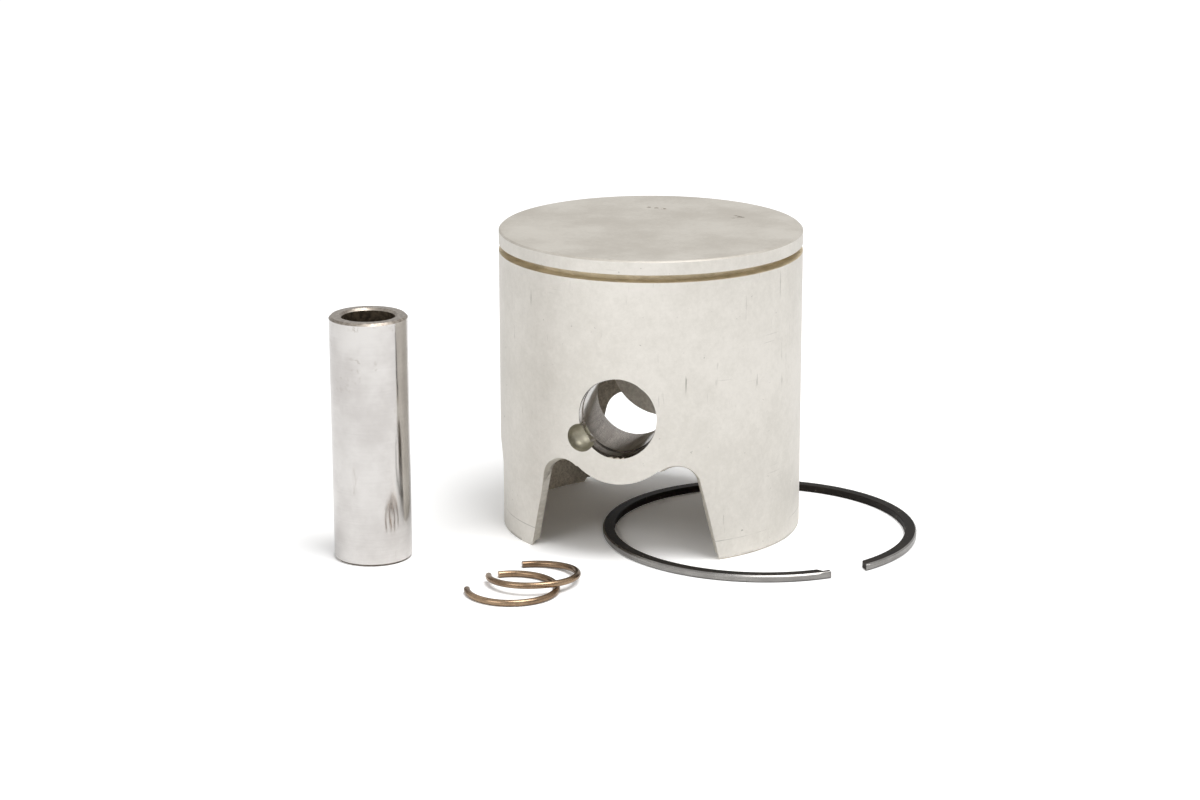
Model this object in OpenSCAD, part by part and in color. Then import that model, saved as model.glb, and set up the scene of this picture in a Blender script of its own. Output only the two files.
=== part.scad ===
// Two-stroke piston kit, laid out loose beside the standing piston.
// The origin is the centre of the gudgeon pin bore: Y runs along that bore, Z points to the crown.

/* [Piston body] */
// Diameter of the skirt and top land
piston_d = 47.54; // [45:0.02:60]
// Height from the skirt foot to the crown
piston_h = 47.65; // [42:0.05:60]
// Height of the gudgeon pin axis above the skirt foot
pin_height = 23; // [20:0.1:26]
// Thickness of the crown
crown_t = 5.2; // [3.5:0.1:6]
// Thickness of the skirt wall
skirt_wall = 1.9; // [1.6:0.1:2.4]
// Thickness of the wall behind the ring belt
belt_wall = 4.4; // [3:0.1:6]
// Radius where the belt wall runs into the crown underside
roof_fillet = 4.5; // [2:0.5:6]
// Broken edge around the crown and the skirt foot
edge_break = 0.26; // [0.1:0.02:0.6]
// Depth by which the inlet side of the lower skirt is relieved
relief_depth = 0.4; // [0.1:0.05:0.6]
// Height of the full-depth relief above the skirt foot
relief_h = 9.5; // [5:0.5:10]
// Height over which the relief runs out
relief_ramp = 4.5; // [2:0.5:5]

/* [Ring groove and peg] */
// Height of the top land above the groove
land_h = 2.2; // [1.5:0.1:4]
// Clearance above the ring in its groove
ring_side_clearance = 0.04; // [0.02:0.01:0.1]
// Clearance behind the closed ring in its groove
ring_back_clearance = 0.3; // [0.2:0.05:0.6]
// Diameter of the locating peg
peg_d = 1; // [0.8:0.05:1.1]
// Length of the peg that is pressed into the piston
peg_seat = 3.2; // [2:0.1:5]
// Interference of the peg in its hole, on the radius
peg_press = 0.01; // [0.005:0.005:0.02]
// Direction of the peg, turned from +X about the piston axis
peg_angle = 152; // [120:1:165]

/* [Pin bore and bosses] */
// Radial running clearance of the pin in its bore
pin_clearance = 0.01; // [0.01:0.005:0.03]
// Gap between the two bosses, where the connecting rod goes
boss_gap = 20.6; // [19:0.1:22]
// Radius of a boss at its inner face
boss_r_inner = 8.85; // [8.5:0.05:10]
// Radius of a boss at the skirt surface
boss_r_outer = 10.3; // [10:0.1:11]
// Depth at which the mouth of the pin bore starts to flare
bore_flare_depth = 0.1; // [0.05:0.05:0.3]
// Angle of the flare
bore_flare_angle = 17; // [5:1:30]
// Relief of the bore at the inner end of a boss, on the radius
bore_relief = 0.1; // [0.05:0.05:0.2]
// Length of that relief
bore_relief_len = 2; // [0.5:0.1:2.5]
// Distance from the skirt surface to the near wall of a circlip groove
clip_inset = 3.57; // [3.3:0.01:4]
// Distance from a pin end to that wall
pin_end_float = 1.1; // [0.3:0.1:1.4]
// Radial depth of a circlip groove
clip_groove_depth = 0.5; // [0.3:0.05:0.7]
// Radius of the ball-ended notch for picking out a circlip
notch_r = 2.2; // [1.6:0.1:2.4]
// Depth of the centre of the notch's ball end below the skirt surface
notch_ball_depth = 0.4; // [0.2:0.1:0.8]
// Direction of the notch around the bore, below the horizontal
notch_angle = 31; // [20:1:40]

/* [Skirt windows] */
// Radius of the rounded window corners, at the depth of a leg's edge
arch_r = 3.36; // [3:0.02:3.6]
// Sideways distance of a corner's centre from the bore
arch_x = 8.94; // [8.7:0.02:9.2]
// Distance of a corner's centre below the bore
arch_drop = 11.2; // [11:0.1:12]
// Widening of the window per side from the corners down to the foot
leg_splay = 2.35; // [1:0.05:3]
// Angle from the pin bore's direction to a leg's edge face
leg_face_turn = 28; // [20:1:32]
// Taper of the rounded corners towards the inside
corner_taper = 20; // [10:1:25]
// Deburred corner where a window meets the foot
foot_corner = 0.8; // [0.4:0.1:1.2]

/* [Piston ring] */
// Height of the ring
ring_h = 1.12; // [1.1:0.02:1.6]
// Radial width of the ring
ring_w = 1.8; // [1.5:0.05:1.8]
// Amount by which the free ring is wider than the piston
ring_spread = 1.86; // [1.8:0.02:2.2]
// Opening between the ends of the free ring, as an angle
ring_gap_angle = 15; // [10:0.5:18]
// Length of the notch that clears the peg, inside the second end
ring_notch_len = 1.05; // [0.8:0.05:1.6]
// Length of the slope from the notch to the full width of the ring
ring_notch_slope = 0.55; // [0.3:0.05:1]
// Angle by which the first end is cut back from square, towards the inside
ring_end_bevel = 25; // [10:1:35]
// Chamfer on the outer edges of the ring
ring_chamfer = 0.2; // [0.1:0.05:0.3]
// Broken edge inside the ring
ring_edge = 0.1; // [0.05:0.05:0.2]

/* [Gudgeon pin] */
// Outer diameter of the gudgeon pin
pin_d = 12; // [10:0.5:13]
// Diameter of the hole through the gudgeon pin
pin_hole_d = 8.2; // [6:0.1:9]
// Chamfer on the edges of the gudgeon pin
pin_chamfer = 0.35; // [0.2:0.05:0.6]

/* [Circlips] */
// Wire diameter of a circlip
wire_d = 1; // [0.8:0.05:1.2]
// Play of the wire between the walls of its groove
wire_play = 0.1; // [0.05:0.05:0.2]
// Radius by which the free circlip stands wider than the pin bore, to the wire's centre
clip_spread = 0.7; // [0.5:0.05:0.9]
// Opening of the free circlip, as an angle
clip_opening = 75; // [60:1:90]

/* [Layout] */
// Distance from the skirt to the axis of the standing gudgeon pin, across
pin_standoff = 13.83; // [10:0.01:20]
// Place of the standing gudgeon pin, along the pin bore
pin_y = -27.9; // [-35:0.1:-20]
// Distance from the rear leg's foot to the lying ring's centre, across
ring_reach = 3.75; // [3.6:0.05:3.9]
// Clearance between the lying ring and the rear leg's foot
ring_leg_clearance = 0.5; // [0.4:0.05:0.6]
// Direction of the first ring end, turned from +X
ring_turn = -38.4; // [-60:0.1:-20]
// Place of the lower circlip's centre, across
lower_clip_x = -12.33; // [-14:0.01:-11]
// Distance from the skirt to the lower circlip's centre, along the pin bore
clip_standoff = 15.98; // [15:0.01:20]
// Middle of the lower circlip's opening, turned from +X
lower_clip_turn = 160; // [150:0.5:165]
// Distance from the lower to the upper circlip's centre
clip_offset = 5.5; // [5:0.1:6]
// Direction from the lower to the upper circlip's centre, turned from +X
clip_offset_turn = 69.3; // [65:0.1:75]
// Middle of the upper circlip's opening, turned from +X
upper_clip_turn = 156.5; // [150:0.5:165]
// Direction in which the leaning circlip is lowest, turned from +X
clip_lean_turn = 116.7; // [110:0.1:125]
// Gap between the two wires where they cross
crossing_gap = 0.1; // [0.05:0.05:0.2]

/* [Hidden] */

FINE = 96;                                  // any value above 12 is a true round
OVER = 1;                                   // how far a cutter runs past what it cuts

skirt_r = piston_d / 2;
foot_z = -pin_height;
crown_z = foot_z + piston_h;

// Ring belt
groove_top = crown_z - land_h;
groove_h = ring_h + ring_side_clearance;
groove_r = skirt_r - ring_w - ring_back_clearance;
peg_notch = 0.55 * ring_w;                  // depth of the ring's notch for the peg
peg_proud = ring_back_clearance + peg_notch - 0.15; // the peg stops short of the notch's floor
peg_r = peg_d / 2;

// Inside of the casting
inner_r = skirt_r - skirt_wall;
belt_r = skirt_r - belt_wall;
roof_z = crown_z - crown_t;
belt_low_z = roof_z - roof_fillet - 1.5;    // the thick wall reaches a little below the fillet
belt_taper = 5.5;                           // height over which it thins to the skirt wall
column_half = boss_r_inner - 1;             // half width of the column from a boss to the crown

// Pin bore
pin_r = pin_d / 2;
bore_r = pin_r + pin_clearance;
clip_wall_y = skirt_r - clip_inset;         // the wall that keeps the pin in
pin_len = 2 * (clip_wall_y - pin_end_float);
clip_groove_w = wire_d + wire_play;
clip_groove_r = bore_r + clip_groove_depth;
flare_y = sqrt(skirt_r ^ 2 - bore_r ^ 2) - bore_flare_depth;
notch_x = -(bore_r + notch_r / 3) * cos(notch_angle);
notch_z = -(bore_r + notch_r / 3) * sin(notch_angle);

// Skirt windows: the boss outline and the corner circles touch at one point
touch_x = boss_r_outer * arch_x / norm([arch_x, arch_drop]);
touch_z = -boss_r_outer * arch_drop / norm([arch_x, arch_drop]);
leg_x = arch_x + arch_r;                    // a leg's edge beside the corner
leg_y = sqrt(skirt_r ^ 2 - leg_x ^ 2);
leg_foot_x = leg_x + leg_splay;
leg_foot_y = sqrt(skirt_r ^ 2 - leg_foot_x ^ 2);
leg_run = leg_splay + (leg_y - leg_foot_y) * tan(leg_face_turn);
leg_lean = atan(leg_run / (pin_height - arch_drop));

// Free ring, around the right rear leg
ring_r = (piston_d + ring_spread) / 2;
ring_inside_r = ring_r - ring_w;
ring_x = leg_foot_x + ring_reach;
ring_y = leg_foot_y - sqrt((ring_inside_r - ring_leg_clearance) ^ 2 - ring_reach ^ 2);

// Free circlip
pin_x = -skirt_r - pin_standoff;
lower_clip_y = -skirt_r - clip_standoff;
clip_r = pin_r + clip_spread;
wire_r = wire_d / 2;

// The upper circlip leans: its low side is on the floor and it crosses above the lower one
upper_clip_x = lower_clip_x + clip_offset * cos(clip_offset_turn);
upper_clip_y = lower_clip_y + clip_offset * sin(clip_offset_turn);
crossing_turn = clip_offset_turn - 90 - asin(clip_offset / 2 / clip_r);
crossing_reach = clip_r * (1 - cos(crossing_turn - clip_lean_turn));
clip_lean = asin((wire_d + crossing_gap) / crossing_reach);

module turned_body() {
    rotate_extrude($fn = FINE)
        polygon([
            [0, foot_z],
            [skirt_r - edge_break, foot_z],
            [skirt_r, foot_z + edge_break],
            [skirt_r, crown_z - edge_break],
            [skirt_r - edge_break, crown_z],
            [0, crown_z]
        ]);
}

// Inside of the casting: thin skirt, thick wall behind the ring, rounded roof
module cavity() {
    rotate_extrude($fn = FINE) {
        polygon([
            [0, foot_z - OVER],
            [inner_r + edge_break + OVER, foot_z - OVER],
            [inner_r, foot_z + edge_break],
            [inner_r, belt_low_z - belt_taper],
            [belt_r, belt_low_z],
            [belt_r, roof_z - roof_fillet],
            [belt_r - roof_fillet, roof_z],
            [0, roof_z]
        ]);
        translate([belt_r - roof_fillet, roof_z - roof_fillet])
            circle(r = roof_fillet, $fn = FINE);
    }
}

// One boss with its column to the crown, on the +Y side
module boss() {
    rotate([-90, 0, 0])
        translate([0, 0, boss_gap / 2])
            cylinder(r1 = boss_r_inner, r2 = boss_r_outer, h = skirt_r - boss_gap / 2, $fn = FINE);
    translate([-column_half, boss_gap / 2 + OVER / 2, 0])
        cube([2 * column_half, skirt_r, crown_z - crown_t / 2]);
}

// Places its children at the centre of a window corner, with +Y along the corner's axis
module at_corner() {
    translate([arch_x, leg_y, -arch_drop])
        rotate([0, 0, corner_taper - leg_face_turn])
            children();
}

// Half of the window under a boss, on the +X +Y side; the boss itself is put back afterwards
module half_window() {
    // open space below the boss, up to where the boss and the corner touch
    translate([0, skirt_r + OVER, 0])
        rotate([90, 0, 0])
            linear_extrude(skirt_r / 2 + OVER)
                polygon([
                    [0, foot_z - OVER],
                    [arch_x, foot_z - OVER],
                    [arch_x, -arch_drop],
                    [touch_x, touch_z],
                    [0, touch_z]
                ]);
    // rounded corner, narrower towards the inside
    at_corner()
        translate([0, -3 * skirt_wall, 0])
            rotate([-90, 0, 0])
                cylinder(
                    r1 = arch_r - 3 * skirt_wall * tan(corner_taper),
                    r2 = arch_r + 3 * skirt_wall * tan(corner_taper),
                    h = 6 * skirt_wall,
                    $fn = FINE
                );
    // space out to the leg, whose slanting edge face runs on from the corner
    intersection() {
        translate([0, skirt_r / 2, foot_z - OVER])
            cube([skirt_r, skirt_r, pin_height - arch_drop + arch_r * sin(leg_lean) + OVER]);
        at_corner()
            rotate([0, -leg_lean, 0])
                translate([arch_r, 0, 0])
                    rotate([0, 0, -corner_taper])
                        translate([-2 * skirt_r, -skirt_r, -2 * pin_height])
                            cube([2 * skirt_r, 2 * skirt_r, 3 * pin_height]);
    }
    // deburred corner at the foot
    translate([leg_foot_x - foot_corner / 4, skirt_r, foot_z])
        rotate([90, 0, 0])
            linear_extrude(skirt_r / 2)
                polygon([
                    [-foot_corner, -OVER],
                    [foot_corner / 2, -OVER],
                    [foot_corner / 2, 0],
                    [0, foot_corner],
                    [-foot_corner, foot_corner]
                ]);
}

module windows() {
    for (front = [0, 1], left = [0, 1])
        mirror([0, front, 0])
            mirror([left, 0, 0])
                half_window();
}

module pin_bore() {
    rotate([90, 0, 0])
        cylinder(r = bore_r, h = piston_d + 2 * OVER, center = true, $fn = FINE);
    for (front = [0, 1])
        mirror([0, front, 0]) {
            // circlip groove
            translate([0, clip_wall_y, 0])
                rotate([-90, 0, 0])
                    cylinder(r = clip_groove_r, h = clip_groove_w, $fn = FINE);
            // relief at the inner end of the boss
            translate([0, boss_gap / 2 - OVER, 0])
                rotate([-90, 0, 0])
                    cylinder(r = bore_r + bore_relief, h = bore_relief_len + OVER, $fn = FINE);
            // flared mouth, which starts just below the skirt surface beside the bore
            translate([0, flare_y, 0])
                rotate([-90, 0, 0])
                    cylinder(
                        r1 = bore_r,
                        r2 = bore_r + (skirt_r - flare_y + OVER) * tan(bore_flare_angle),
                        h = skirt_r - flare_y + OVER,
                        $fn = FINE
                    );
        }
}

// Ball-ended notch beside the bore, to lift the circlip out of its groove
module pick_notch() {
    ball_y = sqrt(skirt_r ^ 2 - notch_x ^ 2) - notch_ball_depth;
    translate([notch_x, ball_y, notch_z]) {
        sphere(r = notch_r, $fn = FINE);
        rotate([-90, 0, 0])
            cylinder(r = notch_r, h = 2 * notch_r, $fn = FINE);
    }
}

module ring_groove() {
    rotate_extrude($fn = FINE)
        translate([groove_r, groove_top - groove_h])
            square([skirt_r - groove_r + OVER, groove_h]);
}

// Places its children along the peg's axis, starting at the groove root and pointing outwards
module at_peg() {
    rotate([0, 0, peg_angle])
        translate([groove_r, 0, groove_top - groove_h / 2])
            rotate([0, 90, 0])
                children();
}

// Relieved lower skirt on the inlet side
module inlet_relief() {
    relief_r = skirt_r - relief_depth;
    intersection() {
        rotate_extrude($fn = FINE)
            polygon([
                [relief_r, foot_z - OVER],
                [skirt_r + OVER, foot_z - OVER],
                [skirt_r + OVER, foot_z + relief_h + relief_ramp],
                [skirt_r, foot_z + relief_h + relief_ramp],
                [relief_r, foot_z + relief_h]
            ]);
        translate([-2 * skirt_r - arch_x, -skirt_r - OVER, foot_z - 2 * OVER])
            cube([2 * skirt_r, 2 * (skirt_r + OVER), piston_h]);
    }
}

// Shallow direction arrow and three size dots stamped in the crown
module crown_marks() {
    mark_depth = 0.08;
    arrow = 2.2;
    stroke = 0.4;
    translate([0, 0, crown_z - mark_depth]) {
        translate([0.46 * skirt_r, 0.42 * skirt_r, 0])
            linear_extrude(mark_depth + OVER)
                polygon([
                    [0, arrow / 2],
                    [stroke, arrow / 2],
                    [arrow, 0],
                    [stroke, -arrow / 2],
                    [0, -arrow / 2],
                    [arrow - 2 * stroke, 0]
                ]);
        for (i = [-1:1])
            translate([-0.09 * skirt_r + 1.3 * i, 0.58 * skirt_r - 0.3 * i, 0])
                cylinder(r = 0.4, h = mark_depth + OVER, $fn = FINE);
    }
}

// Cast aluminium piston, turned outside, with the windows and bosses of the casting
module piston() {
    color("gainsboro")
        difference() {
            union() {
                difference() {
                    turned_body();
                    cavity();
                    windows();
                }
                intersection() {
                    turned_body();
                    for (front = [0, 1])
                        mirror([0, front, 0])
                            boss();
                }
            }
            pin_bore();
            for (front = [0, 1])
                mirror([0, front, 0])
                    pick_notch();
            ring_groove();
            inlet_relief();
            crown_marks();
            at_peg()
                translate([0, 0, -peg_seat])
                    cylinder(r = peg_r - peg_press, h = peg_seat + OVER, $fn = FINE);
        }
}

// Steel peg in the groove root, which the ring's notched end fits over
module ring_peg() {
    color("dimgray")
        at_peg()
            translate([0, 0, -peg_seat])
                cylinder(r = peg_r, h = peg_seat + peg_proud, $fn = FINE);
}

// Open ring with chamfered outer edges and a notch inside its second end
module piston_ring() {
    color("darkslategray")
        translate([ring_x, ring_y, foot_z])
            difference() {
                rotate([0, 0, ring_turn])
                    rotate_extrude(angle = 360 - ring_gap_angle, $fn = FINE)
                        polygon([
                            [ring_inside_r + ring_edge, 0],
                            [ring_r - ring_chamfer, 0],
                            [ring_r, ring_chamfer],
                            [ring_r, ring_h - ring_chamfer],
                            [ring_r - ring_chamfer, ring_h],
                            [ring_inside_r + ring_edge, ring_h],
                            [ring_inside_r, ring_h - ring_edge],
                            [ring_inside_r, ring_edge]
                        ]);
                // bevel of the first end
                rotate([0, 0, ring_turn])
                    translate([ring_r, 0, -OVER])
                        rotate([0, 0, -ring_end_bevel])
                            translate([-2 * ring_w, -ring_w, 0])
                                cube([2 * ring_w, ring_w, ring_h + 2 * OVER]);
                // notch of the second end
                rotate([0, 0, ring_turn - ring_gap_angle])
                    translate([0, 0, -OVER])
                        linear_extrude(ring_h + 2 * OVER)
                            polygon([
                                [ring_inside_r - OVER, OVER],
                                [ring_inside_r + peg_notch, OVER],
                                [ring_inside_r + peg_notch, -ring_notch_len],
                                [ring_inside_r, -ring_notch_len - ring_notch_slope],
                                [ring_inside_r - OVER, -ring_notch_len - ring_notch_slope]
                            ]);
            }
}

// Hardened hollow pin, standing on its end
module gudgeon_pin() {
    hole_r = pin_hole_d / 2;
    color("silver")
        translate([pin_x, pin_y, foot_z])
            rotate_extrude($fn = FINE)
                polygon([
                    [hole_r + pin_chamfer, 0],
                    [pin_r - pin_chamfer, 0],
                    [pin_r, pin_chamfer],
                    [pin_r, pin_len - pin_chamfer],
                    [pin_r - pin_chamfer, pin_len],
                    [hole_r + pin_chamfer, pin_len],
                    [hole_r, pin_len - pin_chamfer],
                    [hole_r, pin_chamfer]
                ]);
}

// Round-wire circlip lying flat about the origin, its opening centred on the given direction
module circlip(turn) {
    rotate([0, 0, turn + clip_opening / 2])
        rotate_extrude(angle = 360 - clip_opening, $fn = FINE)
            translate([clip_r, 0])
                circle(r = wire_r, $fn = FINE);
}

module circlip_lower() {
    color("peru")
        translate([lower_clip_x, lower_clip_y, foot_z + wire_r])
            circlip(lower_clip_turn);
}

module circlip_upper() {
    color("peru")
        translate([upper_clip_x, upper_clip_y, foot_z + wire_r + clip_r * sin(clip_lean)])
            rotate([0, 0, clip_lean_turn])
                rotate([0, clip_lean, 0])
                    circlip(upper_clip_turn - clip_lean_turn);
}

piston();
ring_peg();
piston_ring();
gudgeon_pin();
circlip_lower();
circlip_upper();
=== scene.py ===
import math

import bmesh
import bpy
from mathutils import Matrix, Vector


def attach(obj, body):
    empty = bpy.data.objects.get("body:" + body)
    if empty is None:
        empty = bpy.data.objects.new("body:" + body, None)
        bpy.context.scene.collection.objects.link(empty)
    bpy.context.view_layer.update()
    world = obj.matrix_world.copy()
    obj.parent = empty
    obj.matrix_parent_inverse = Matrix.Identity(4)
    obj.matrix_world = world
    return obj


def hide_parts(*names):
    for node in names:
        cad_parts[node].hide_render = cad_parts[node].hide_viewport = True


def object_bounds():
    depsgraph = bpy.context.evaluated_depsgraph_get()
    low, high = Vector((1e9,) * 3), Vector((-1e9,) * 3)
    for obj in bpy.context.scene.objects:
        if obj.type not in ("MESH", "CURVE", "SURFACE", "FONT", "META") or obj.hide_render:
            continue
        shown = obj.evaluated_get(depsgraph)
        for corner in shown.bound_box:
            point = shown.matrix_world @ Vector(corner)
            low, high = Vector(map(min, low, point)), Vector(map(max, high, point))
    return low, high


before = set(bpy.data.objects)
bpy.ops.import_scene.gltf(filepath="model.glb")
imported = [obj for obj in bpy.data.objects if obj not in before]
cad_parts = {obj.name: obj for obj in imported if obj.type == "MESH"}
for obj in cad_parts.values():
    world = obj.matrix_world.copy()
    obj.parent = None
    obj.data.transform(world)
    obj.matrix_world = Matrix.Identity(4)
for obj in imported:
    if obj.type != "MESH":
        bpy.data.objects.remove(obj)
cad_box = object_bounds()
scene = bpy.context.scene
scene.view_settings.view_transform = "Standard"

# ---- Camera: a long lens on a stand half a metre away. It looks along the pin bore, from a
# little above the crown and a little to the right.
MM = 0.001
camera_data = bpy.data.cameras.new("camera")
camera_data.lens = 92.71
camera_data.sensor_width = 36
camera_data.clip_start = 0.01
camera = bpy.data.objects.new("camera", camera_data)
camera.location = Vector((101.35, -460.96, 128.85)) * MM
camera_turn = Matrix.Rotation(math.radians(13.37), 4, "Z")
camera_tilt = Matrix.Rotation(math.radians(74.34), 4, "X")
camera_roll = Matrix.Rotation(math.radians(-0.115), 4, "Z")
camera.rotation_euler = (camera_turn @ camera_tilt @ camera_roll).to_euler()
scene.collection.objects.link(camera)
scene.camera = camera


# Its white runs on into the backdrop, and it keeps the soft shadows. The shader class that every
# later finish is written with starts here.
class Wire:
    """One shader socket. Sums and products of wires add their Math nodes."""

    def __init__(self, tree, socket=None):
        self.tree = tree
        self.socket = socket

    def add(self, kind, settings, sockets, output=0):
        """Adds a node, sets its settings first and then its sockets' values or links."""
        node = self.tree.nodes.new(kind)
        for name, value in settings.items():
            if name == "stops":
                ramp = node.color_ramp
                for place, _ in value[1:-1]:
                    ramp.elements.new(place)
                for element, (place, colour) in zip(ramp.elements, value):
                    element.position = place
                    element.color = (*colour, 1)
            else:
                setattr(node, name, value)
        for name, value in sockets.items():
            if isinstance(value, Wire):
                self.tree.links.new(value.socket, node.inputs[name])
            else:
                node.inputs[name].default_value = value
        return Wire(self.tree, node.outputs[output])

    def math(self, operation, first, second=0.0, clamp=False):
        return self.add("ShaderNodeMath", {"operation": operation, "use_clamp": clamp}, {0: first, 1: second})

    def __add__(self, other):
        return self.math("ADD", self, other)

    def __sub__(self, other):
        return self.math("SUBTRACT", self, other)

    def __mul__(self, other):
        return self.math("MULTIPLY", self, other)

    def __rsub__(self, other):
        return self.math("SUBTRACT", other, self)

    __radd__ = __add__
    __rmul__ = __mul__

    def between(self, low, high):
        """0 below low, 1 above high, and a smooth step between."""
        settings = {"interpolation_type": "SMOOTHSTEP"}
        return self.add("ShaderNodeMapRange", settings, {"Value": self, "From Min": low, "From Max": high})

    def blend(self, first, second):
        """Mixes two colours, with this wire as the share of the second."""
        return self.add("ShaderNodeMix", {"data_type": "RGBA"}, {0: self, 6: first, 7: second}, 2)

    def noise(self, place, scale, detail=4.0, roughness=0.55):
        sockets = {"Vector": place, "Scale": scale, "Detail": detail, "Roughness": roughness}
        return self.add("ShaderNodeTexNoise", {}, sockets)

    def stretch(self, place, scale):
        return self.add("ShaderNodeMapping", {}, {"Vector": place, "Scale": scale})

    def height(self, place):
        return self.add("ShaderNodeSeparateXYZ", {}, {0: place}, 2)

    def bump(self, height, strength, depth):
        sockets = {"Height": height, "Strength": strength, "Distance": depth}
        return self.add("ShaderNodeBump", {}, sockets)


def new_finish(name):
    """A material, a wire to start from, its object coordinates and its shader."""
    material = bpy.data.materials.new(name)
    material.use_nodes = True
    start = Wire(material.node_tree)
    place = start.add("ShaderNodeTexCoord", {}, {}, "Object")
    return material, start, place, material.node_tree.nodes["Principled BSDF"]


def feed(start, shader, **sockets):
    """Links wires to the shader's sockets, and sets plain values on them."""
    for name, value in sockets.items():
        socket = shader.inputs[name.replace("_", " ")]
        if isinstance(value, Wire):
            start.tree.links.new(value.socket, socket)
        else:
            socket.default_value = value


def rgb(red, green, blue):
    """A colour as seen on a display, as the shader wants it."""
    seen = [c / 255 for c in (red, green, blue)]
    return (*[c / 12.92 if c < 0.04045 else ((c + 0.055) / 1.055) ** 2.4 for c in seen], 1)


def flat_mesh(name, corners, material):
    mesh = bpy.data.meshes.new(name)
    mesh.from_pydata(corners, [], [range(len(corners))])
    mesh.materials.append(material)
    sheet = bpy.data.objects.new(name, mesh)
    scene.collection.objects.link(sheet)
    return sheet


table_paper, start, place, shader = new_finish("table_paper")
fibre = start.noise(place, 900)
feed(
    start,
    shader,
    Base_Color=fibre.blend(rgb(250, 250, 250), rgb(252, 252, 252)),
    Roughness=0.75 + fibre * 0.1,
    Specular_IOR_Level=0.2,
)
rays = start.add("ShaderNodeLightPath", {}, {}, "Is Camera Ray")
white = start.add("ShaderNodeBsdfDiffuse", {}, {"Color": (1.17, 1.17, 1.17, 1)})
# out of the lamps' reach the sheet runs into the backdrop's white
far = start.add("ShaderNodeVectorMath", {"operation": "LENGTH"}, {0: place}, 1).between(0.30, 0.60)
backdrop = start.add("ShaderNodeEmission", {}, {"Color": (1.07, 1.07, 1.07, 1)})
seen_sheet = start.add("ShaderNodeMixShader", {}, {0: far, 1: white, 2: backdrop})
paper = start.add("ShaderNodeMixShader", {}, {0: rays, 1: Wire(start.tree, shader.outputs[0]), 2: seen_sheet})
start.tree.links.new(paper.socket, start.tree.nodes["Material Output"].inputs["Surface"])
table_z = cad_box[0][2]
half_table = 3.0
flat_mesh(
    "table",
    [
        (-half_table, -half_table, table_z),
        (half_table, -half_table, table_z),
        (half_table, half_table, table_z),
        (-half_table, half_table, table_z),
    ],
    table_paper,
)

# ---- Studio: a white room with one broad soft lamp above and to the right, and a weaker one in
# front and to the left.
# Two dark strips stand outside the view, so that the polished pieces have something to mirror.
room_light = 0.47
backdrop_light = 0.6
mirrored_share = 0.55
world = bpy.data.worlds.new("studio")
scene.world = world
world.use_nodes = True
room = Wire(world.node_tree)
seen = room.add("ShaderNodeLightPath", {}, {}, "Is Camera Ray")
mirrored = room.add("ShaderNodeLightPath", {}, {}, "Is Glossy Ray")
lit = room_light + seen.math("MAXIMUM", seen, mirrored * mirrored_share) * backdrop_light
light = room.add("ShaderNodeBackground", {}, {"Color": (1, 1, 1, 1), "Strength": lit})
room.tree.links.new(light.socket, room.tree.nodes["World Output"].inputs["Surface"])


def soft_lamp(name, place, aim, width, height, power):
    lamp_data = bpy.data.lights.new(name, "AREA")
    lamp_data.shape = "RECTANGLE"
    lamp_data.size = width
    lamp_data.size_y = height
    lamp_data.energy = power
    lamp = bpy.data.objects.new(name, lamp_data)
    lamp.location = place
    lamp.rotation_euler = (Vector(aim) - Vector(place)).to_track_quat("-Z", "Y").to_euler()
    scene.collection.objects.link(lamp)


soft_lamp("overhead", (0.30, -0.18, 0.90), (0.0, 0.0, 0.0), 0.6, 0.6, 7.2)
soft_lamp("front", (-0.50, -0.85, 0.50), (0.0, 0.0, 0.0), 0.6, 0.6, 2.6)

flag_cloth, start, place, shader = new_finish("flag_cloth")
weave = start.noise(place, 300)
feed(start, shader, Base_Color=weave.blend(rgb(40, 38, 36), rgb(52, 50, 48)), Roughness=0.9)


def flag(name, centre, width, height):
    centre = Vector(centre)
    across = Vector((-centre.y, centre.x, 0)).normalized() * width / 2
    up = Vector((0, 0, height / 2))
    corners = [centre - across - up, centre + across - up, centre + across + up, centre - across + up]
    strip = flat_mesh(name, corners, flag_cloth)
    strip.visible_camera = False
    strip.visible_diffuse = False
    strip.visible_shadow = False


flag("flag_right", (0.62, -0.25, 0.16), 0.10, 0.46)
flag("flag_left", (-0.67, 0.34, 0.16), 0.22, 0.46)


# ---- Piston: an aluminium casting. Skirt, crown and groove are turned, the pin bore is honed,
# and the inside is left as it came out of the mould. Each of these faces has its own finish.
def smooth_copy(node, sharp_degrees):
    """A welded copy of a CAD node, smooth over its curves and sharp at its edges."""
    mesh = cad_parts[node].data.copy()
    mesh.materials.clear()
    work = bmesh.new()
    work.from_mesh(mesh)
    bmesh.ops.remove_doubles(work, verts=work.verts, dist=2e-6)
    for face in work.faces:
        face.smooth = True
    work.to_mesh(mesh)
    work.free()
    mesh.set_sharp_from_angle(angle=math.radians(sharp_degrees))
    copy = bpy.data.objects.new(node + "_fine", mesh)
    scene.collection.objects.link(copy)
    return copy


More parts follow.
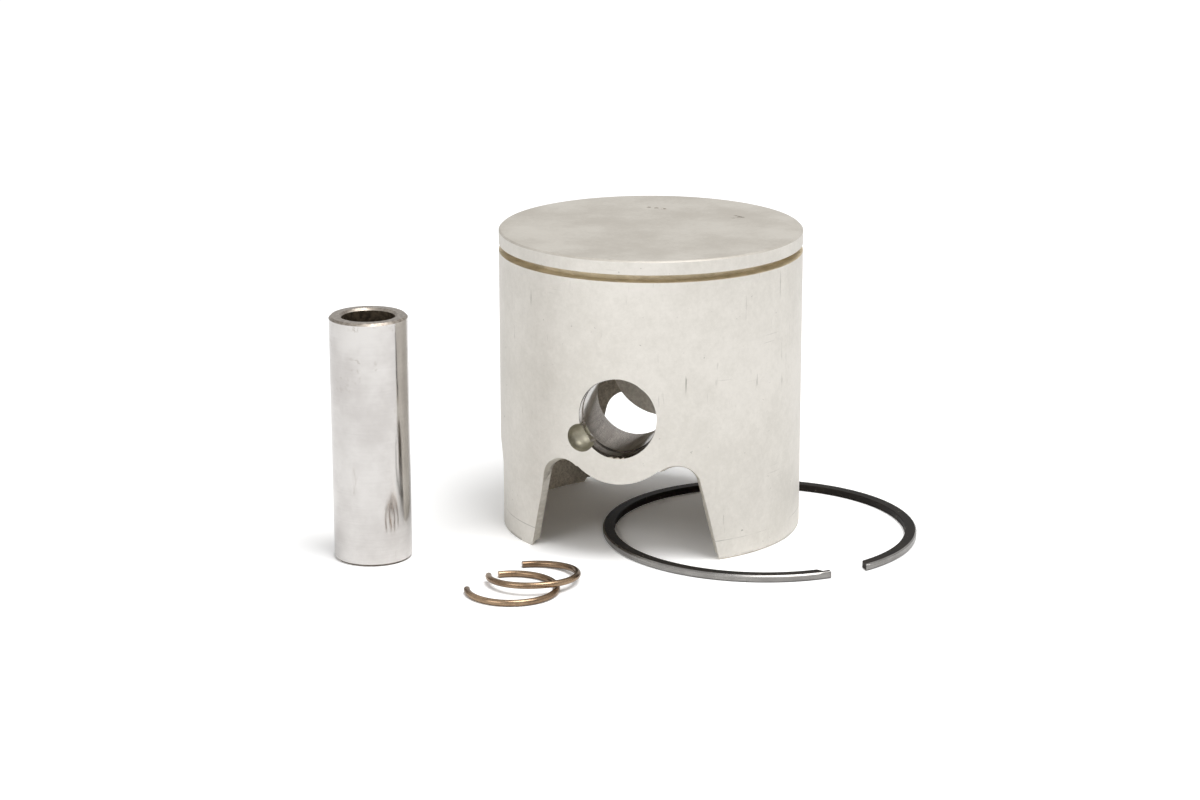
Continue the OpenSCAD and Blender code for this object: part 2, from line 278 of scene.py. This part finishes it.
def true_rounds(piece, axes):
    """Turned and bored faces get the normals of true rounds, and flat faces stay flat.

    Each axis is a point on it, its direction and the largest radius that belongs to it, in mm.
    """
    square_to, faces_out, straight = 0.07, 0.9, 0.999
    mesh = piece.data
    normals = [corner.vector.copy() for corner in mesh.corner_normals]
    for face in mesh.polygons:
        flat = max(abs(part) for part in face.normal) > straight
        for point, axis, limit in axes:
            out = face.center / MM - point
            out -= axis * out.dot(axis)
            beside_axis = abs(face.normal.dot(axis)) < square_to
            if beside_axis and abs(face.normal.dot(out.normalized())) > faces_out and out.length < limit:
                for corner in face.loop_indices:
                    reach = mesh.vertices[mesh.loops[corner].vertex_index].co / MM - point
                    reach -= axis * reach.dot(axis)
                    normals[corner] = reach.normalized() * math.copysign(1, face.normal.dot(out))
                break
        else:
            if flat:
                for corner in face.loop_indices:
                    normals[corner] = face.normal.copy()
    mesh.normals_split_custom_set(normals)


def paint(piece, finishes, choose):
    """Gives each face the finish that choose(centre in mm, normal) names."""
    names = list(finishes)
    for name in names:
        piece.data.materials.append(finishes[name])
    for face in piece.data.polygons:
        face.material_index = names.index(choose(face.center / MM, face.normal))


def stand_for(piece, node, body):
    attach(piece, body)
    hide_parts(node)


skirt_r = 23.77
crown_z = 24.65
piston_finishes = {}

# turned skirt: satin, with fine rings left by the tool, faint rubs and a few small nicks
material, start, place, shader = new_finish("turned_skirt")
cloud = start.noise(place, 70, 5.0, 0.6)
mottle = start.noise(place, 420, 6.0, 0.65)
rings = start.noise(start.stretch(place, (12, 12, 2600)), 1.0, 3.0)
rub = start.noise(start.stretch(place, (1900, 1900, 130)), 1.0, 3.0).between(0.675, 0.735)
rub_here = start.noise(place, 85, 2.0).between(0.46, 0.58)
scuff = start.noise(start.stretch(place, (75, 75, 2100)), 1.0, 2.0).between(0.72, 0.76)
scuff_here = start.noise(place, 60, 2.0).between(0.48, 0.58)
speck = start.noise(place, 1300, 2.0).between(0.73, 0.79)
pores = start.noise(place, 1500, 3.0, 0.7)
shade = (cloud * 0.45 + mottle * 0.3 + pores * 0.25).between(0.35, 0.65)
pale = shade.blend(rgb(210, 206, 198), rgb(225, 221, 214))
# a faint line left by the tool near the foot, and darker mottling in the last half millimetre
level = start.height(place)
line = level.between(-0.02001, -0.01993) * (1 - level.between(-0.01989, -0.01981))
foot_line = line * cloud.between(0.42, 0.56)
foot_darkening = (1 - level.between(-0.0230, -0.0223)) * mottle.between(0.46, 0.58)
worn = (rub * rub_here * 0.6 + scuff * scuff_here * 0.22).blend(pale, rgb(120, 115, 106))
feed(
    start,
    shader,
    Base_Color=(speck * 0.5 + foot_line * 0.5 + foot_darkening * 0.5).blend(worn, rgb(110, 104, 96)),
    Metallic=0.55,
    Roughness=0.40 + mottle * 0.12 + cloud * 0.06,
    Normal=start.bump(rings * 0.5 + mottle * 0.5 - rub * rub_here, 0.18, 0.00004),
)
piston_finishes["skirt"] = material

# crown: turned flat, then dulled, with soft blotches
material, start, place, shader = new_finish("turned_crown")
blotch = start.noise(place, 110, 5.0, 0.6)
grit = start.noise(place, 1500, 4.0, 0.7)
shade = (blotch * 0.75 + grit * 0.25).between(0.36, 0.64)
feed(
    start,
    shader,
    Base_Color=shade.blend(rgb(182, 176, 166), rgb(198, 193, 184)),
    Metallic=0.5,
    Roughness=0.48 + blotch * 0.12,
    Normal=start.bump(grit, 0.22, 0.00003),
)
piston_finishes["crown"] = material

# stamped marks: the same face, pressed down, and painted darker than the crown: painted shade in the bottom
# of the marks
material, start, place, shader = new_finish("stamped_marks")
stamp_mottle = start.noise(place, 2200, 3.0)
feed(
    start,
    shader,
    # darker than the crown's colour: painted shade in the bottom of the marks
    Base_Color=stamp_mottle.between(0.4, 0.6).blend(rgb(136, 129, 118), rgb(180, 174, 164)),
    Metallic=0.5,
    Roughness=0.5 + stamp_mottle * 0.1,
    Normal=start.bump(stamp_mottle, 0.2, 0.00003),
)
piston_finishes["stamp"] = material

# ring groove: olive-brown from the coating that stays in it, and painted paler than the skirt: painted light
# that lifts the shade inside the groove
material, start, place, shader = new_finish("groove_floor")
stain = start.noise(start.stretch(place, (300, 300, 900)), 1.0, 5.0, 0.65)
feed(
    start,
    shader,
    # paler than the skirt's colour: painted light against the shade in the groove
    Base_Color=stain.between(0.35, 0.65).blend(rgb(206, 194, 168), rgb(234, 223, 200)),
    Metallic=0.6,
    Roughness=0.38 + stain * 0.15,
    Normal=start.bump(stain, 0.15, 0.00003),
)
piston_finishes["groove"] = material

# window and foot faces: cut through the wall, with marks of the cutter
material, start, place, shader = new_finish("cut_edge")
marks = start.noise(start.stretch(place, (500, 500, 2200)), 1.0, 4.0, 0.6)
patch = start.noise(place, 260, 4.0)
shade = (marks * 0.5 + patch * 0.5).between(0.35, 0.65)
feed(
    start,
    shader,
    Base_Color=shade.blend(rgb(208, 202, 190), rgb(234, 229, 219)),
    Metallic=0.5,
    Roughness=0.46 + marks * 0.14,
    Normal=start.bump(marks, 0.3, 0.00004),
)
piston_finishes["cut"] = material

# inside: the grey-brown skin of the casting, grainy, with darker sooty patches
material, start, place, shader = new_finish("cast_skin")
grain = start.noise(place, 2100, 6.0, 0.75)
lump = start.noise(place, 500, 4.0, 0.6)
soot = start.noise(place, 120, 4.0, 0.6)
skin = grain.between(0.33, 0.67).blend(rgb(180, 171, 156), rgb(228, 219, 205))
feed(
    start,
    shader,
    Base_Color=(soot.between(0.45, 0.7) * 0.35).blend(skin, rgb(104, 96, 84)),
    Metallic=0.35,
    Roughness=0.68 + lump * 0.2,
    Normal=start.bump(grain * 0.6 + lump * 0.4, 0.6, 0.00014),
)
piston_finishes["cast"] = material

# inner faces of the bosses: milled flat and grainy, and painted paler than the casting: painted light for the
# light that falls on them through the bore
material, start, place, shader = new_finish("boss_face")
grain = start.noise(place, 1900, 5.0, 0.7)
feed(
    start,
    shader,
    # paler than the cast skin: painted light on the bosses' inner faces
    Base_Color=grain.between(0.33, 0.67).blend(rgb(214, 207, 196), rgb(242, 236, 225)),
    Metallic=0.4,
    Roughness=0.55 + grain * 0.15,
    Normal=start.bump(grain, 0.35, 0.00008),
)
piston_finishes["boss"] = material

# pin bore, honed bright, and its circlip grooves
material, start, place, shader = new_finish("honed_bore")
hone = start.noise(start.stretch(place, (2600, 160, 2600)), 1.0, 4.0, 0.6)
haze = start.noise(place, 220, 4.0)
shade = (hone * 0.5 + haze * 0.5).between(0.35, 0.65)
feed(
    start,
    shader,
    Base_Color=shade.blend(rgb(164, 159, 153), rgb(200, 195, 190)),
    Metallic=1.0,
    Roughness=0.12 + haze * 0.12,
    Normal=start.bump(hone, 0.1, 0.00002),
)
piston_finishes["bore"] = material

# pick notch: cut with a ball cutter and left olive-grey
material, start, place, shader = new_finish("ball_cut_notch")
swirl = start.noise(place, 900, 5.0, 0.6)
feed(
    start,
    shader,
    Base_Color=swirl.between(0.35, 0.65).blend(rgb(150, 145, 128), rgb(172, 167, 150)),
    Metallic=0.7,
    Roughness=0.34 + swirl * 0.1,
    Normal=start.bump(swirl, 0.12, 0.00003),
)
piston_finishes["notch"] = material

# sizes in mm that tell the piston's faces apart
bore_r = 6.01
bore_start, bore_end = 10.25, 23.6
clip_groove_r = 6.9
boss_r = 9
inner_wall_r = 21.8
window_top = -6.5
groove_low, groove_high = 21.2, 22.5
groove_floor_r, groove_edge_r = 21.4, 22.6
notch_from_pin = bore_r + 2.2 / 3
notch_angle = math.radians(31)
notch_x = -notch_from_pin * math.cos(notch_angle)
notch_z = -notch_from_pin * math.sin(notch_angle)
notch_centre = Vector((notch_x, math.sqrt(skirt_r**2 - notch_x**2) - 0.4, notch_z))
notch_r = 2.3


def piston_face(at, normal):
    """The finish of a face, from where it lies and which way it points."""
    around = math.hypot(at.x, at.y)
    outward = (normal.x * at.x + normal.y * at.y) / around if around > 1 else 0
    from_pin = math.hypot(at.x, at.z)
    along_pin = abs(at.y)
    from_ball = Vector((at.x, along_pin, at.z)) - notch_centre
    beside_ball = math.hypot(from_ball.x, from_ball.z)
    # the groove's faces get the paler groove finish: painted light
    if groove_low < at.z < groove_high and around > groove_floor_r:
        if outward < 0.9 or around < groove_edge_r:
            return "groove"
    if at.z > crown_z - 0.35:
        # faces just below the crown's top, in the marks, get the darker stamp finish: painted shade
        return "stamp" if -0.15 < at.z - crown_z < -0.03 and around < 22 else "crown"
    if around > 23.2 and outward > 0.8:
        return "skirt"
    if bore_start < along_pin < bore_end and from_pin < 7.6:
        if along_pin > 20 and beside_ball < 2.25 and from_ball.length < 2.6 and from_pin > bore_r + 0.01:
            return "notch"
        if from_pin < clip_groove_r:
            return "bore"
    if along_pin > 20 and beside_ball < notch_r:
        return "notch"
    # the bosses' inner faces get the paler boss finish: painted light
    if abs(normal.y) > 0.99 and along_pin < 10.5 and from_pin < boss_r:
        return "boss"
    if around > inner_wall_r and at.z < window_top and outward > -0.9:
        return "cut"
    return "cast"


piston = smooth_copy("piston", 28)
paint(piston, piston_finishes, piston_face)
up = Vector((0, 0, 1))
true_rounds(piston, [(Vector(), up, 100), (Vector(), Vector((0, 1, 0)), 7)])
stand_for(piston, "piston", "piston")

# ---- Ring peg: a short pin of drawn steel. It is pressed into the floor of the groove, and the
# notch inside the ring's end fits over it, so that the ring can't turn.
material, start, place, shader = new_finish("peg_steel")
drawn = start.noise(place, 2400, 3.0)
feed(
    start,
    shader,
    Base_Color=drawn.blend(rgb(120, 116, 110), rgb(158, 154, 148)),
    Metallic=1.0,
    Roughness=0.3 + drawn * 0.15,
    Normal=start.bump(drawn, 0.1, 0.00002),
)
peg = smooth_copy("ring_peg", 30)
paint(peg, {"peg": material}, lambda at, normal: "peg")
stand_for(peg, "ring_peg", "piston")

# ---- Piston ring: cast iron, dark with phosphate on its sides and ends. Only the running face
# is bright: it is chromed, and ground with a narrow chamfer above and below.
ring_centre = Vector((18.4, -3.365, 0))
ring_finishes = {}
material, start, place, shader = new_finish("ring_phosphate")
crystal = start.noise(place, 2600, 5.0, 0.7)
bloom = start.noise(place, 150, 4.0)
fleck = start.noise(place, 1700, 2.0).between(0.66, 0.74)
dark = (crystal * 0.6 + bloom * 0.4).between(0.35, 0.65).blend(rgb(11, 9, 7), rgb(36, 30, 24))
feed(
    start,
    shader,
    Base_Color=(fleck * 0.5).blend(dark, rgb(118, 108, 95)),
    Specular_IOR_Level=0.15,
    Roughness=0.5 + crystal * 0.2,
    Normal=start.bump(crystal, 0.3, 0.00004),
)
ring_finishes["phosphate"] = material

material, start, place, shader = new_finish("ring_chrome")
lines = start.noise(start.stretch(place, (120, 120, 5200)), 1.0, 3.0)
touch = start.noise(place, 260, 4.0)
feed(
    start,
    shader,
    Base_Color=(lines * 0.5 + touch * 0.5).between(0.35, 0.65).blend(rgb(132, 129, 126), rgb(154, 152, 149)),
    Metallic=0.95,
    Roughness=0.2 + touch * 0.12,
    Normal=start.bump(lines, 0.08, 0.00002),
)
ring_finishes["chrome"] = material


def ring_face(at, normal):
    out = Vector((at.x, at.y, 0)) - ring_centre
    outward = (normal.x * out.x + normal.y * out.y) / out.length
    return "chrome" if outward > 0.5 and out.length > 24.3 else "phosphate"


ring = smooth_copy("piston_ring", 25)
paint(ring, ring_finishes, ring_face)
true_rounds(ring, [(ring_centre, up, 100)])
stand_for(ring, "piston_ring", "ring")

# ---- Gudgeon pin: hardened steel tube, ground and polished outside, bored through. The ends
# are turned and stay duller, and handling has left stains on the polish.
pin_centre = Vector((-37.6, -27.9, 0))
pin_finishes = {}
material, start, place, shader = new_finish("ground_steel")
grind = start.noise(start.stretch(place, (150, 150, 3800)), 1.0, 3.0)
veil = start.noise(place, 130, 5.0, 0.6)
runs = start.noise(start.stretch(place, (520, 520, 70)), 1.0, 5.0, 0.7).between(0.60, 0.72)
# stains and runs gather towards the upper end
upper = start.height(place).between(0.000, 0.013)
runs_here = start.noise(place, 75, 2.0).between(0.50, 0.60) + upper * 0.5
blots = start.noise(place, 900, 5.0, 0.7).between(0.52, 0.64)
stains = blots * start.noise(place, 210, 2.0).between(0.52, 0.62) * upper
clean = (veil * 0.85 + grind * 0.15).between(0.35, 0.65).blend(rgb(197, 193, 190), rgb(215, 212, 209))
feed(
    start,
    shader,
    Base_Color=(runs * runs_here * 0.4 + stains * 0.55).blend(clean, rgb(142, 132, 118)),
    Metallic=1.0,
    Roughness=0.10 + veil * 0.08 + runs * runs_here * 0.15 + stains * 0.2,
    Normal=start.bump(grind, 0.015, 0.00001),
)
pin_finishes["ground"] = material

material, start, place, shader = new_finish("pin_ends")
turned = start.noise(place, 1500, 5.0, 0.7)
feed(
    start,
    shader,
    Base_Color=turned.between(0.35, 0.65).blend(rgb(128, 119, 110), rgb(168, 160, 150)),
    Metallic=0.9,
    Roughness=0.32 + turned * 0.15,
    Normal=start.bump(turned, 0.15, 0.00003),
)
pin_finishes["ends"] = material

material, start, place, shader = new_finish("pin_hole")
oxide = start.noise(place, 1300, 5.0, 0.7)
feed(
    start,
    shader,
    Base_Color=oxide.between(0.35, 0.65).blend(rgb(52, 43, 33), rgb(92, 80, 64)),
    Metallic=0.6,
    Roughness=0.45 + oxide * 0.2,
    Normal=start.bump(oxide, 0.3, 0.00005),
)
pin_finishes["hole"] = material


def pin_face(at, normal):
    from_axis = math.hypot(at.x - pin_centre.x, at.y - pin_centre.y)
    if abs(normal.z) > 0.3:
        return "ends"
    return "ground" if from_axis > 5.5 else "hole"


pin = smooth_copy("gudgeon_pin", 25)
paint(pin, pin_finishes, pin_face)
true_rounds(pin, [(pin_centre, up, 100)])
stand_for(pin, "gudgeon_pin", "pin")

# ---- Circlips: two open loops of round spring wire, coiled and tempered to a bronze colour.
# The wire's ends are cut square. The second one lies across the first and leans on it.
material, start, place, shader = new_finish("tempered_wire")
temper = start.noise(place, 190, 4.0, 0.6)
drawn = start.noise(place, 2600, 4.0, 0.6)
bronze = temper.between(0.35, 0.65).blend(rgb(122, 100, 79), rgb(160, 136, 111))
feed(
    start,
    shader,
    Base_Color=(drawn.between(0.5, 0.75) * 0.4).blend(bronze, rgb(92, 73, 54)),
    Metallic=1.0,
    Roughness=0.20 + temper * 0.12,
    Normal=start.bump(drawn, 0.12, 0.00002),
)
wire_finish = material

tree = bpy.data.node_groups.new("open_wire_loop", "GeometryNodeTree")
tree.interface.new_socket("Geometry", in_out="OUTPUT", socket_type="NodeSocketGeometry")
loop_inputs = {}
for name in ("Loop radius", "Wire radius", "Opening angle", "Edge break"):
    size = tree.interface.new_socket(name, in_out="INPUT", socket_type="NodeSocketFloat")
    loop_inputs[name] = size.identifier
group_in = tree.nodes.new("NodeGroupInput")
group_out = tree.nodes.new("NodeGroupOutput")
arc = tree.nodes.new("GeometryNodeCurveArc")
arc.inputs["Resolution"].default_value = 160
half_opening = tree.nodes.new("ShaderNodeMath")
half_opening.operation = "MULTIPLY"
half_opening.inputs[1].default_value = 0.5
sweep = tree.nodes.new("ShaderNodeMath")
sweep.operation = "SUBTRACT"
sweep.inputs[0].default_value = math.tau
section = tree.nodes.new("GeometryNodeCurvePrimitiveCircle")
section.inputs["Resolution"].default_value = 32
bend = tree.nodes.new("GeometryNodeCurveToMesh")
bend.inputs["Fill Caps"].default_value = True
smooth = tree.nodes.new("GeometryNodeSetShadeSmooth")
real = tree.nodes.new("GeometryNodeRealizeInstances")
coat = tree.nodes.new("GeometryNodeSetMaterial")
coat.inputs["Material"].default_value = wire_finish
narrow_ends = tree.nodes.new("GeometryNodeSetCurveRadius")
ends = tree.nodes.new("GeometryNodeCurveEndpointSelection")
end_radius = tree.nodes.new("ShaderNodeMath")
end_radius.operation = "SUBTRACT"
end_radius.inputs[0].default_value = 1.0
for source, target in (
    (group_in.outputs["Loop radius"], arc.inputs["Radius"]),
    (group_in.outputs["Opening angle"], half_opening.inputs[0]),
    (half_opening.outputs[0], arc.inputs["Start Angle"]),
    (group_in.outputs["Opening angle"], sweep.inputs[1]),
    (sweep.outputs[0], arc.inputs["Sweep Angle"]),
    (group_in.outputs["Edge break"], end_radius.inputs[1]),
    (arc.outputs["Curve"], narrow_ends.inputs["Curve"]),
    (ends.outputs[0], narrow_ends.inputs["Selection"]),
    (end_radius.outputs[0], narrow_ends.inputs["Radius"]),
    (group_in.outputs["Wire radius"], section.inputs["Radius"]),
    (narrow_ends.outputs["Curve"], bend.inputs["Curve"]),
    (section.outputs["Curve"], bend.inputs["Profile Curve"]),
    (bend.outputs["Mesh"], smooth.inputs["Geometry"]),
    (smooth.outputs["Geometry"], real.inputs["Geometry"]),
    (real.outputs["Geometry"], coat.inputs["Geometry"]),
    (coat.outputs["Geometry"], group_out.inputs["Geometry"]),
):
    tree.links.new(source, target)

loop_r = 6.7
wire_r = 0.5
opening = 75
lower_centre = Vector((-12.33, -39.75, -22.5))
step_over = 5.5
rise = 1.1
step_turn = math.radians(69.3)
lean_turn = math.radians(116.7)
upper_centre = lower_centre + Vector((math.cos(step_turn), math.sin(step_turn), 0)) * step_over
crossing = step_turn - math.pi / 2 - math.asin(step_over / 2 / loop_r)
lean = math.asin(rise / (loop_r * (1 - math.cos(crossing - lean_turn))))


def circlip(node, body, matrix):
    """One clip: a loop made at the origin and moved, in mm, by the matrix."""
    host = bpy.data.objects.new(node + "_host", bpy.data.meshes.new(node + "_host"))
    scene.collection.objects.link(host)
    modifier = host.modifiers.new("loop", "NODES")
    modifier.node_group = tree
    modifier[loop_inputs["Loop radius"]] = loop_r
    modifier[loop_inputs["Wire radius"]] = wire_r
    modifier[loop_inputs["Opening angle"]] = math.radians(opening)
    modifier[loop_inputs["Edge break"]] = 0.04
    mesh = bpy.data.meshes.new_from_object(host.evaluated_get(bpy.context.evaluated_depsgraph_get()))
    host.modifiers.remove(modifier)
    bpy.data.objects.remove(host)
    mesh.transform(Matrix.Scale(MM, 4) @ matrix)
    mesh.set_sharp_from_angle(angle=math.radians(40))
    piece = bpy.data.objects.new(node + "_fine", mesh)
    scene.collection.objects.link(piece)
    stand_for(piece, node, body)


lower_turn = Matrix.Rotation(math.radians(160), 4, "Z")
circlip("circlip_lower", "clip_lower", Matrix.Translation(lower_centre) @ lower_turn)
# the upper one leans: its lowest point stays on the table
raised = Matrix.Translation(upper_centre + Vector((0, 0, loop_r * math.sin(lean))))
tilt = Matrix.Rotation(lean_turn, 4, "Z") @ Matrix.Rotation(lean, 4, "Y")
upper_turn = Matrix.Rotation(math.radians(156.5) - lean_turn, 4, "Z")
circlip("circlip_upper", "clip_upper", raised @ tilt @ upper_turn)
